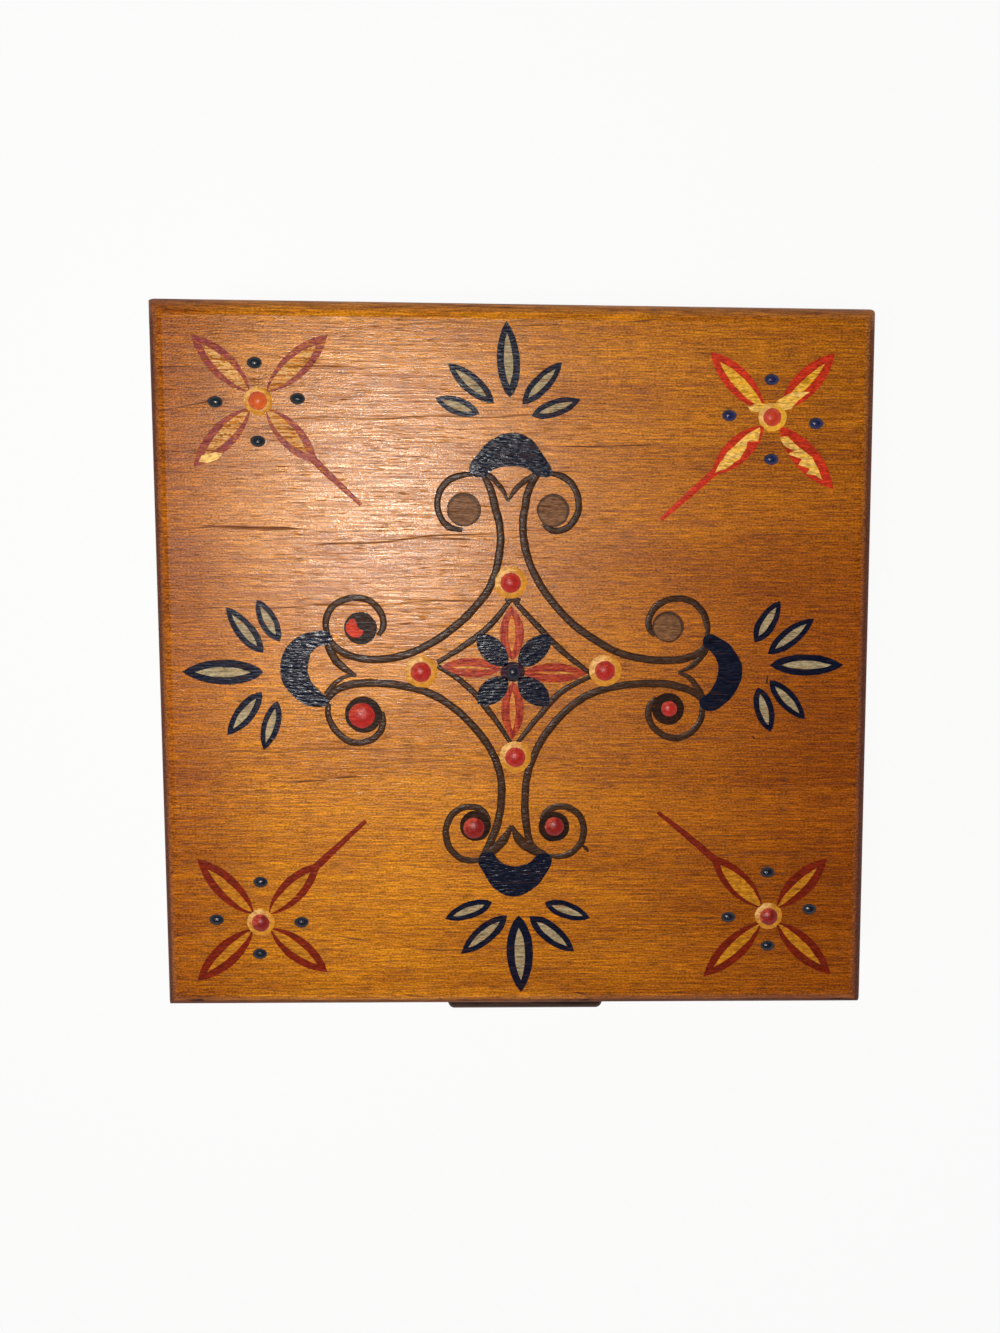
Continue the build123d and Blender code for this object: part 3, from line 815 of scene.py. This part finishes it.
# Each eye's x, y and radius. The first ones are bare, and drops cover the others.
SCROLL_EYES = [
    (-9.0, 27.5, 3.0), (6.7, 27.5, 2.9), (27.2, 6.9, 2.8), (-27.4, 6.3, 2.9),
    (-27.1, -9.3, 3.3), (27.3, -8.0, 2.9), (-7.3, -29.6, 2.8), (6.8, -29.7, 2.8),
]
BARE_EYES = 3
CHIPPED_RED = [(-29.7, 7.3), (-28.7, 8.0), (-28.2, 7.3), (-27.8, 6.4), (-27.0, 5.8), (-27.2, 5.0),
               (-28.2, 4.6), (-29.4, 5.1), (-30.0, 6.1)]

# Small slips of the brush.
SPECKS = [
    ([(12.0, -33.3), (12.6, -33.8), (13.0, -34.4)], (0.5, 0.8, 0.5)),
    ([(11.3, -33.4), (11.7, -33.2)], (0.4, 0.3)),
    ([(42.6, -13.0), (43.0, -13.5)], (0.4, 0.3)),
    ([(45.0, -3.4), (45.3, -1.9)], (0.5, 0.3)),
]

# A corner flower: its middle, the four petals' tips and the end of the stem that the inward petal, the
# last, runs on into.
CORNER_FLOWERS = {
    "back_left": ((-44.5, 46.2), [(-55.7, 57.4), (-32.3, 57.6), (-55.9, 34.6), (-34.6, 35.3)], (-27.0, 28.2)),
    "back_right": ((45.3, 44.2), [(34.2, 55.6), (56.2, 55.6), (56.4, 31.7), (34.5, 33.9)], (25.7, 26.0)),
    "front_left": (
        (-46.0, -47.4), [(-57.1, -35.7), (-57.8, -58.5), (-34.3, -56.8), (-35.3, -36.4)], (-27.0, -28.7)
    ),
    "front_right": (
        (46.2, -46.3), [(56.6, -35.7), (57.8, -57.6), (34.2, -58.0), (35.4, -35.1)], (25.6, -27.0)
    ),
}
PETAL_WIDTH = 4.5
PETAL_START = 1.9
STEM_WIDTHS = (1.5, 1.2, 0.8)

# The widths of the petals' fills, in the tips' order, where None is a petal that only dabs fill.
FILL_WIDTHS = {
    "back_left": (2.3, 2.5, 2.2, 2.4),
    "back_right": (2.1, 1.5, None, None),
    "front_left": (1.8, 1.6, 1.8, 2.1),
    "front_right": (1.5, 1.7, 1.8, 2.6),
}

# The last dabs of pale paint, with straight sides.
DABS = {
    "back_right": [
        [(43.1, 42.5), (41.5, 41.7), (39.7, 40.2), (37.4, 38.0), (36.2, 36.2), (35.2, 34.5), (37.2, 35.1),
         (39.6, 36.9), (40.8, 38.9), (41.0, 39.9), (42.8, 40.1), (43.2, 41.7)],
        [(46.6, 40.8), (48.0, 41.0), (49.7, 39.4), (51.3, 38.2), (52.5, 37.4), (53.8, 35.0), (54.4, 33.4),
         (53.0, 34.2), (51.4, 34.4), (52.2, 35.2), (50.1, 36.0), (50.7, 37.0), (48.1, 37.8), (49.3, 38.4),
         (47.4, 39.4)],
        [(45.5, 46.1), (46.3, 47.3), (47.9, 48.3), (49.5, 48.8), (51.9, 48.8), (49.9, 47.4), (48.5, 45.8),
         (46.3, 45.3)],
        [(40.9, 46.1), (42.7, 46.7), (45.1, 46.5), (44.3, 45.3), (41.5, 45.1)],
    ],
    "back_left": [[(-55.0, 35.4), (-54.4, 36.5), (-52.4, 37.0), (-50.8, 36.9), (-51.7, 35.8), (-53.5, 35.3)]],
}

# The handles that round four knots to a circle, and how much of a ball a drop is.
CIRCLE_HANDLE = 0.5523
DOME_ANGLE = radians(62.0)


# Operators


class TRINKET_OT_wood(Operator):
    """Stain and varnish the walls, lid and tab, and finish the bottom board"""

    bl_idname = "trinket.wood"
    bl_label = "Wood"

    # How each wall's grain runs, and which part of the tree it shows.
    walls = {
        "front": (ALONG_X, (90.0, 20.0, 45.0)),
        "back": (ALONG_X, (-160.0, 8.0, 12.0)),
        "left": (ALONG_Y, (40.0, 31.0, 62.0)),
        "right": (ALONG_Y, (-210.0, -16.0, 25.0)),
    }

    def execute(self, context):
        assign("lid_panel", lid_wood())
        for side, (turn, shift) in self.walls.items():
            assign(f"{side}_wall", wall_wood(f"{side.title()} wood", turn, shift))
        assign("thumb_tab", tab_wood())
        assign("bottom_panel", plywood())
        return {"FINISHED"}


class TRINKET_OT_metal(Operator):
    """Finish the hinges, screws and brads"""

    bl_idname = "trinket.metal"
    bl_label = "Metal"

    def execute(self, context):
        metal = brass()
        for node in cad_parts:
            if "hinge" in node:
                assign(node, metal)
        assign("bottom_brads", steel())
        return {"FINISHED"}


class TRINKET_OT_felt(Operator):
    """Lay the felt on the floor inside the box"""

    bl_idname = "trinket.felt"
    bl_label = "Felt"

    cells = 96
    nap_width = 5 * MM

    def execute(self, context):
        low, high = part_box("floor_felt")
        size, middle = high - low, (high + low) / 2
        nap = sizes("felt_nap")
        bm = bmesh.new()
        bmesh.ops.create_grid(bm, x_segments=self.cells, y_segments=self.cells, size=0.5)
        bmesh.ops.scale(bm, vec=(size.x, size.y, 1), verts=bm.verts)
        bmesh.ops.translate(bm, vec=(middle.x, middle.y, high.z - nap), verts=bm.verts)
        for vert in bm.verts:
            rough = noise.fractal(vert.co / self.nap_width, 1.0, 2.0, 3)
            vert.co.z += nap * max(-1.0, min(1.0, rough))
        rim = [edge for edge in bm.edges if edge.is_boundary]
        skirt = bmesh.ops.extrude_edge_only(bm, edges=rim)["geom"]
        for item in skirt:
            if isinstance(item, bmesh.types.BMVert):
                item.co.z = low.z
        close(bm)
        made = piece("floor_felt_sheet", bm, felt(), SOFT_SMOOTH, "box")
        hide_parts("floor_felt")
        return {"FINISHED"}


def islands(node):
    """The low and high corners of each separate solid in a CAD node."""
    bm = bmesh.new()
    bm.from_mesh(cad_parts[node].data)
    bmesh.ops.remove_doubles(bm, verts=bm.verts, dist=0.001 * MM)
    left, found = set(bm.verts), []
    while left:
        reach, group = [left.pop()], []
        while reach:
            vert = reach.pop()
            group.append(vert.co.copy())
            near = {edge.other_vert(vert) for edge in vert.link_edges} & left
            left -= near
            reach += near
        found.append((Vector(map(min, *group)), Vector(map(max, *group))))
    bm.free()
    return sorted(found, key=lambda pair: tuple(pair[0]))


def dome(low, high, crown):
    """A drop of enamel that fills the space from low to high: part of a ball, flattened, and flatter on top the
    less its crown."""
    cut, broad = cos(DOME_ANGLE), sin(DOME_ANGLE)
    bm = bmesh.new()
    bmesh.ops.create_uvsphere(bm, u_segments=28, v_segments=20, radius=1.0)
    cut_below(bm, cut)
    bmesh.ops.translate(bm, vec=(0, 0, -cut), verts=bm.verts)
    size, middle = high - low, (high + low) / 2
    vec = (size.x / 2 / broad, size.y / 2 / broad, size.z / (1 - cut))
    bmesh.ops.scale(bm, vec=vec, verts=bm.verts)
    # The lit side: how far a point lies to the drop's back left, where the enamel paints a highlight.
    side = bm.verts.layers.float.new(LIT_SIDE_ATTRIBUTE)
    for vert in bm.verts:
        vert[side] = (vert.co.y / size.y - vert.co.x / size.x) * 1.2
        level = vert.co.z / size.z
        vert.co.z = size.z * level ** crown if level > 0 else 0.0
        stray = noise.noise_vector((vert.co + middle * 3) / (1.1 * MM)) * size.x * 0.022
        vert.co.x += stray.x
        vert.co.y += stray.y
    bmesh.ops.translate(bm, vec=(middle.x, middle.y, low.z), verts=bm.verts)
    return bm


class TRINKET_OT_drops(Operator):
    """Set the raised drops and discs of enamel"""

    bl_idname = "trinket.drops"
    bl_label = "Drops"

    def execute(self, context):
        # The last tone of each enamel is a painted highlight on its drops' back left side: pale for the yellow.
        yellow, bright, pale = colour("yellow"), (0.88, 0.44, 0.03), (0.80, 0.44, 0.13)
        yellows = enamel("Yellow enamel", (yellow, yellow, yellow, bright, pale), 0.34, 0.3)
        deep, orange, scarlet = (0.24, 0.008, 0.006), (0.64, 0.10, 0.012), (0.60, 0.045, 0.012)
        # Light red: the painted highlight on the red drops' back left side.
        worn = (0.52, 0.055, 0.024)
        reds = enamel("Red enamel", (deep, colour("red"), orange, scarlet, worn), 0.26, 0.36)
        navy, teal, blue = colour("navy"), (0.005, 0.009, 0.014), (0.009, 0.011, 0.075)
        navies = enamel("Navy enamel", (navy, navy, teal, blue, navy), 0.22, 0.45)
        drops = (
            ("yellow_discs", "yellow_paint", yellows, 0.5),
            ("red_drops", "red_paint", reds, 1.0),
            ("navy_drops", "navy_paint", navies, 1.0),
        )
        for node, slot, material, crown in drops:
            domes = [dome(low, high, crown) for low, high in islands(node)]
            made = piece(f"{node}_enamel", joined(*domes), material, SOFT_SMOOTH)
            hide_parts(node)
        return {"FINISHED"}


class TRINKET_OT_fans(Operator):
    """Paint the fans of outlined leaves at the ends of the cross"""

    bl_idname = "trinket.fans"
    bl_label = "Fans"

    def execute(self, context):
        navy = paint("Navy brushed", colour("navy"), 0.0, 0.16, (0.006, 0.008, 0.022), relief=0.055)
        grey = paint("Grey brushed", colour("grey"), 0.22, 0.3, (0.40, 0.32, 0.19), cracks=0.9)
        for side, leaves in FANS.items():
            rims = patches([leaf(*item, 0.18, 0.26) for item in leaves])
            piece(f"fan_{side}_leaves", rims, navy)
            fills = patches([inner_leaf(*item, FAN_RIM_SHARE * item[2]) for item in leaves], "fill")
            piece(f"fan_{side}_fills", fills, grey)
        return {"FINISHED"}


class TRINKET_OT_cross(Operator):
    """Paint the scroll cross, its crescents and the diamond in its middle"""

    bl_idname = "trinket.cross"
    bl_label = "Cross"

    def execute(self, context):
        dark = (0.031, 0.012, 0.005)
        umber = paint("Umber brushed", colour("umber"), 0.05, 0.24, dark, relief=0.075, gleam=0.14)
        navy = paint("Navy brushed thick", colour("navy"), 0.0, 0.12, (0.006, 0.008, 0.020), **THICK_PAINT)
        for side, outline in CRESCENTS.items():
            piece(f"crescent_{side}", patches([outline], "fill"), navy)
        forms = {
            "cross_curves": [(line, CROSS_WIDTHS) for line in CROSS_CURVES],
            "scroll_loops": [(line, LOOP_WIDTHS) for line in SCROLL_LOOPS],
            "arm_points": ARM_POINTS,
            "specks": SPECKS,
            "diamond": [(line, DIAMOND_WIDTHS) for line in DIAMOND_SIDES],
        }
        for name, lines in forms.items():
            piece(name, strokes(lines), umber, STROKE_SMOOTH)
        return {"FINISHED"}


class TRINKET_OT_eyes(Operator):
    """Paint the discs in the scrolls, one with its red drop chipped"""

    bl_idname = "trinket.eyes"
    bl_label = "Scroll eyes"

    def execute(self, context):
        matt = paint("Eye brushed", colour("eye"), 0.06, 0.34, (0.20, 0.088, 0.036), cracks=0.8)
        dark = paint("Eye thick", (0.030, 0.012, 0.006), 0.04, 0.24, (0.014, 0.007, 0.005), gleam=0.06)
        red = paint("Chipped red", (0.56, 0.038, 0.012), 0.05, 0.3, (0.44, 0.030, 0.012), cracks=0.2)
        edge = paint("Eye edge", (0.050, 0.022, 0.010), 0.08, 0.3, (0.085, 0.036, 0.016))
        bare, covered = SCROLL_EYES[:BARE_EYES], SCROLL_EYES[BARE_EYES:]
        inner = [disc(x - 0.1, y - 0.15, radius - 0.4) for x, y, radius in bare]
        piece("scroll_eyes_edges", patches([disc(*eye) for eye in bare]), edge)
        piece("scroll_eyes_matt", patches(inner, "fill"), matt)
        piece("scroll_eyes_dark", patches([disc(*eye) for eye in covered]), dark)
        piece("chipped_red_drop", patches([CHIPPED_RED], "fill"), red)
        return {"FINISHED"}


class TRINKET_OT_middle(Operator):
    """Paint the flower in the middle of the cross"""

    bl_idname = "trinket.middle"
    bl_label = "Middle flower"

    def execute(self, context):
        red, orange, amber = (0.23, 0.008, 0.006), (0.44, 0.055, 0.012), (0.66, 0.29, 0.05)
        along = paint("Petal red along", red, 0.0, 0.24, orange, gleam=0.12, turn=ALONG_X)
        across = paint("Petal red across", red, 0.0, 0.24, orange, gleam=0.12, turn=ALONG_Y)
        streak = paint("Petal streak", amber, 0.22, 0.3, (0.56, 0.15, 0.03), under=(0.36, 0.03, 0.014))
        navy = paint("Leaf navy", colour("navy"), 0.0, 0.12, (0.006, 0.008, 0.018), **THICK_PAINT)
        # A dark patch round the bead: dark paint together with the bead's painted shadow.
        shadow = paint("Bead surround", (0.010, 0.002, 0.006), 0.0, 0.2, (0.040, 0.002, 0.014), cracks=0.0)
        leaves = [leaf(*item, 0.16, 0.20) for item in MIDDLE_LEAVES]
        piece("middle_leaves", patches(leaves, "fill"), navy)
        piece("middle_bead_surround", patches([disc(*MIDDLE_BEAD)], "fill"), shadow)
        for name, petals, tint in (("sides", MIDDLE_PETALS[1:3], along), ("ends", MIDDLE_PETALS[::3], across)):
            piece(f"middle_petals_{name}", patches([leaf(*item) for item in petals]), tint)
        streaks = [inner_leaf(*item, MIDDLE_RIM) for item in MIDDLE_PETALS]
        piece("middle_petal_streaks", patches(streaks, "fill"), streak)
        return {"FINISHED"}


class TRINKET_OT_corners(Operator):
    """Paint the four corner flowers, each as worn as it is"""

    bl_idname = "trinket.corners"
    bl_label = "Corner flowers"

    # The rim's tone, the fill's two, how worn they are, and whether the worn fill shows the rim's red.
    tones = {
        "back_left": ((0.24, 0.036, 0.032), (0.72, 0.31, 0.09), (0.86, 0.50, 0.17), 0.31, False),
        "back_right": ((0.46, 0.026, 0.008), (0.66, 0.30, 0.008), (0.80, 0.44, 0.05), 0.10, True),
        "front_left": ((0.16, 0.012, 0.003), (0.43, 0.14, 0.008), (0.54, 0.21, 0.014), 0.12, False),
        "front_right": ((0.15, 0.012, 0.003), (0.44, 0.145, 0.007), (0.54, 0.22, 0.012), 0.03, False),
    }
    dab_tone = (0.84, 0.50, 0.13)

    def execute(self, context):
        for corner, (middle, tips, stem_tip) in CORNER_FLOWERS.items():
            rim_tone, fill_tone, streak, wear, on_red = self.tones[corner]
            rim = paint(f"Petal rim {corner}", rim_tone, wear, 0.26)
            under = rim_tone if on_red else None
            fill = paint(f"Petal fill {corner}", fill_tone, wear * 1.3, 0.3, streak, under)
            centre = Vector(middle)
            petals, fills = [], []
            for tip, fill_width in zip(tips, FILL_WIDTHS[corner]):
                out = Vector(tip) - centre
                petals.append(leaf(centre + out.normalized() * PETAL_START, tip, PETAL_WIDTH))
                if fill_width:
                    fills.append(leaf(centre + out * 0.14, centre + out * 0.84, fill_width))
            inward = Vector(tips[-1])
            bend = inward.lerp(Vector(stem_tip), 0.4)
            stem = ([tuple(inward.lerp(centre, 0.12)), tuple(bend), stem_tip], STEM_WIDTHS)
            whole = joined(patches(petals), strokes([stem]))
            piece(f"flower_{corner}_petals", whole, rim)
            piece(f"flower_{corner}_fills", patches(fills, "fill"), fill)
            if corner in DABS:
                cream = paint(f"Petal dab {corner}", self.dab_tone, 0.05, 0.3, streak, cracks=0.7)
                dabs = patches([ragged(points) for points in DABS[corner]], "dab")
                piece(f"flower_{corner}_dabs", dabs, cream)
        return {"FINISHED"}


# The camera stands off the lid's middle, and the picture's middle is off its axis, as in a cropped photograph.
CAMERA_PLACE = Vector((21.24, 41.17, 340.89)) * MM
CAMERA_TURN = (radians(-7.041), radians(-2.516), radians(0.658))
CAMERA_LENS = 43.2
CAMERA_SHIFT = (-0.1551, -0.0266)

# Each lamp's kind, power in watts, radius, place, and where it points, in millimetres.
LAMPS = {
    "gleam_lamp": ("POINT", 6.3, 35.0, (-117.0, 6.0, 640.0), (-117.0, 6.0, 0.0)),
    "high_lamp": ("POINT", 2.9, 35.0, (-58.0, 12.0, 640.0), (-58.0, 12.0, 0.0)),
    "fill_spot": ("SPOT", 13.5, 120.0, (-60.0, -20.0, 700.0), (-42.0, 8.0, 56.5)),
}
LAMP_COLOUR = (1.0, 0.97, 0.93)
SPOT_ANGLE = radians(25.0)
ROOM_COLOUR = (1.0, 0.985, 0.965, 1.0)
FLOOR_COLOUR = (0.86, 0.86, 0.86, 1.0)
FLOOR_WHITE = 0.92
FLOOR_HALF = 6.0


class TRINKET_OT_stage(Operator):
    """Set the floor, the lamps and the camera"""

    bl_idname = "trinket.stage"
    bl_label = "Stage"

    def execute(self, context):
        self.world(context.scene)
        self.floor()
        self.lamps()
        self.camera(context.scene)
        context.scene.view_settings.view_transform = "Standard"
        return {"FINISHED"}

    def world(self, scene):
        """Pale walls all round, and a dim ceiling."""
        scene.world = bpy.data.worlds.new("Pale room")
        room = Nodes(scene.world)
        toward = room.node("ShaderNodeTexCoord").outputs["Generated"]
        height = room.node("ShaderNodeSeparateXYZ", {0: toward}).outputs[2]
        light = {"Color": ROOM_COLOUR, "Strength": room.span(height, 0.30, 0.85, 1.0, 0.06)}
        background = room.node("ShaderNodeBackground", light)
        room.node("ShaderNodeOutputWorld", {0: background.outputs[0]})

    def floor(self):
        """White to the eye and in gloss, with a soft shadow, and clear from below."""
        material = bpy.data.materials.new("Pale floor")
        look = Nodes(material)
        path = look.node("ShaderNodeLightPath").outputs
        seen = look.math("MAXIMUM", path["Is Camera Ray"], path["Is Glossy Ray"])
        seen = look.math("MAXIMUM", seen, path["Is Transmission Ray"])
        matt = look.node("ShaderNodeBsdfDiffuse", {"Color": FLOOR_COLOUR})
        surface = self.blend(look, look.times(seen, FLOOR_WHITE), matt, look.node("ShaderNodeEmission"))
        below = look.node("ShaderNodeNewGeometry").outputs["Backfacing"]
        surface = self.blend(look, below, surface, look.node("ShaderNodeBsdfTransparent"))
        look.node("ShaderNodeOutputMaterial", {"Surface": surface.outputs[0]})
        bm = bmesh.new()
        bmesh.ops.create_grid(bm, x_segments=1, y_segments=1, size=FLOOR_HALF)
        mesh = bpy.data.meshes.new("floor")
        bm.to_mesh(mesh)
        bm.free()
        mesh.materials.append(material)
        made = placed("floor", mesh)

    def blend(self, look, share, first, second):
        return look.node("ShaderNodeMixShader", {0: share, 1: first.outputs[0], 2: second.outputs[0]})

    def lamps(self):
        """A small lamp that only gloss shows, at the lid's back left, and two without gloss, whose light fades
        towards the right."""
        for name, (kind, power, radius, place, aim) in LAMPS.items():
            light = bpy.data.lights.new(name, kind)
            light.energy = power
            light.shadow_soft_size = radius * MM
            light.color = LAMP_COLOUR
            if kind == "SPOT":
                light.spot_size = SPOT_ANGLE
                light.spot_blend = 1.0
            lamp = placed(name, light)
            lamp.location = Vector(place) * MM
            lamp.rotation_euler = (Vector(aim) - Vector(place)).to_track_quat("-Z", "Y").to_euler()
            lamp.visible_camera = False
            lamp.visible_diffuse = name != "gleam_lamp"
            lamp.visible_glossy = name == "gleam_lamp"

    def camera(self, scene):
        lens = bpy.data.cameras.new("camera")
        lens.lens = CAMERA_LENS
        lens.sensor_width = 36.0
        lens.shift_x, lens.shift_y = CAMERA_SHIFT
        lens.clip_start = 0.01
        lens.clip_end = 20.0
        camera = placed("camera", lens)
        camera.matrix_world = Matrix.Translation(CAMERA_PLACE) @ Euler(CAMERA_TURN).to_matrix().to_4x4()
        scene.camera = camera


OPERATORS = (
    TRINKET_OT_wood, TRINKET_OT_metal, TRINKET_OT_felt, TRINKET_OT_drops, TRINKET_OT_fans, TRINKET_OT_cross,
    TRINKET_OT_eyes, TRINKET_OT_middle, TRINKET_OT_corners, TRINKET_OT_stage,
)


class TRINKET_PT_panel(Panel):
    """Lists the trinket box's steps in the 3D view's sidebar"""

    bl_label = "Trinket box"
    bl_idname = "TRINKET_PT_panel"
    bl_space_type = "VIEW_3D"
    bl_region_type = "UI"
    bl_category = "Trinket box"

    def draw(self, context):
        for group in (context.scene.trinket_sizes, context.scene.trinket_colours):
            box = self.layout.box()
            for name in group.__annotations__:
                box.prop(group, name)
        for operator in OPERATORS:
            self.layout.operator(operator.bl_idname)


CLASSES = (TrinketSizes, TrinketColours, *OPERATORS, TRINKET_PT_panel)


def register():
    for made in CLASSES:
        bpy.utils.register_class(made)
    bpy.types.Scene.trinket_sizes = PointerProperty(type=TrinketSizes)
    bpy.types.Scene.trinket_colours = PointerProperty(type=TrinketColours)


def unregister():
    del bpy.types.Scene.trinket_colours
    del bpy.types.Scene.trinket_sizes
    for made in reversed(CLASSES):
        bpy.utils.unregister_class(made)


def main():
    register()
    for operator in OPERATORS:
        family, name = operator.bl_idname.split(".")
        getattr(getattr(bpy.ops, family), name)()


if __name__ == "__main__":
    main()
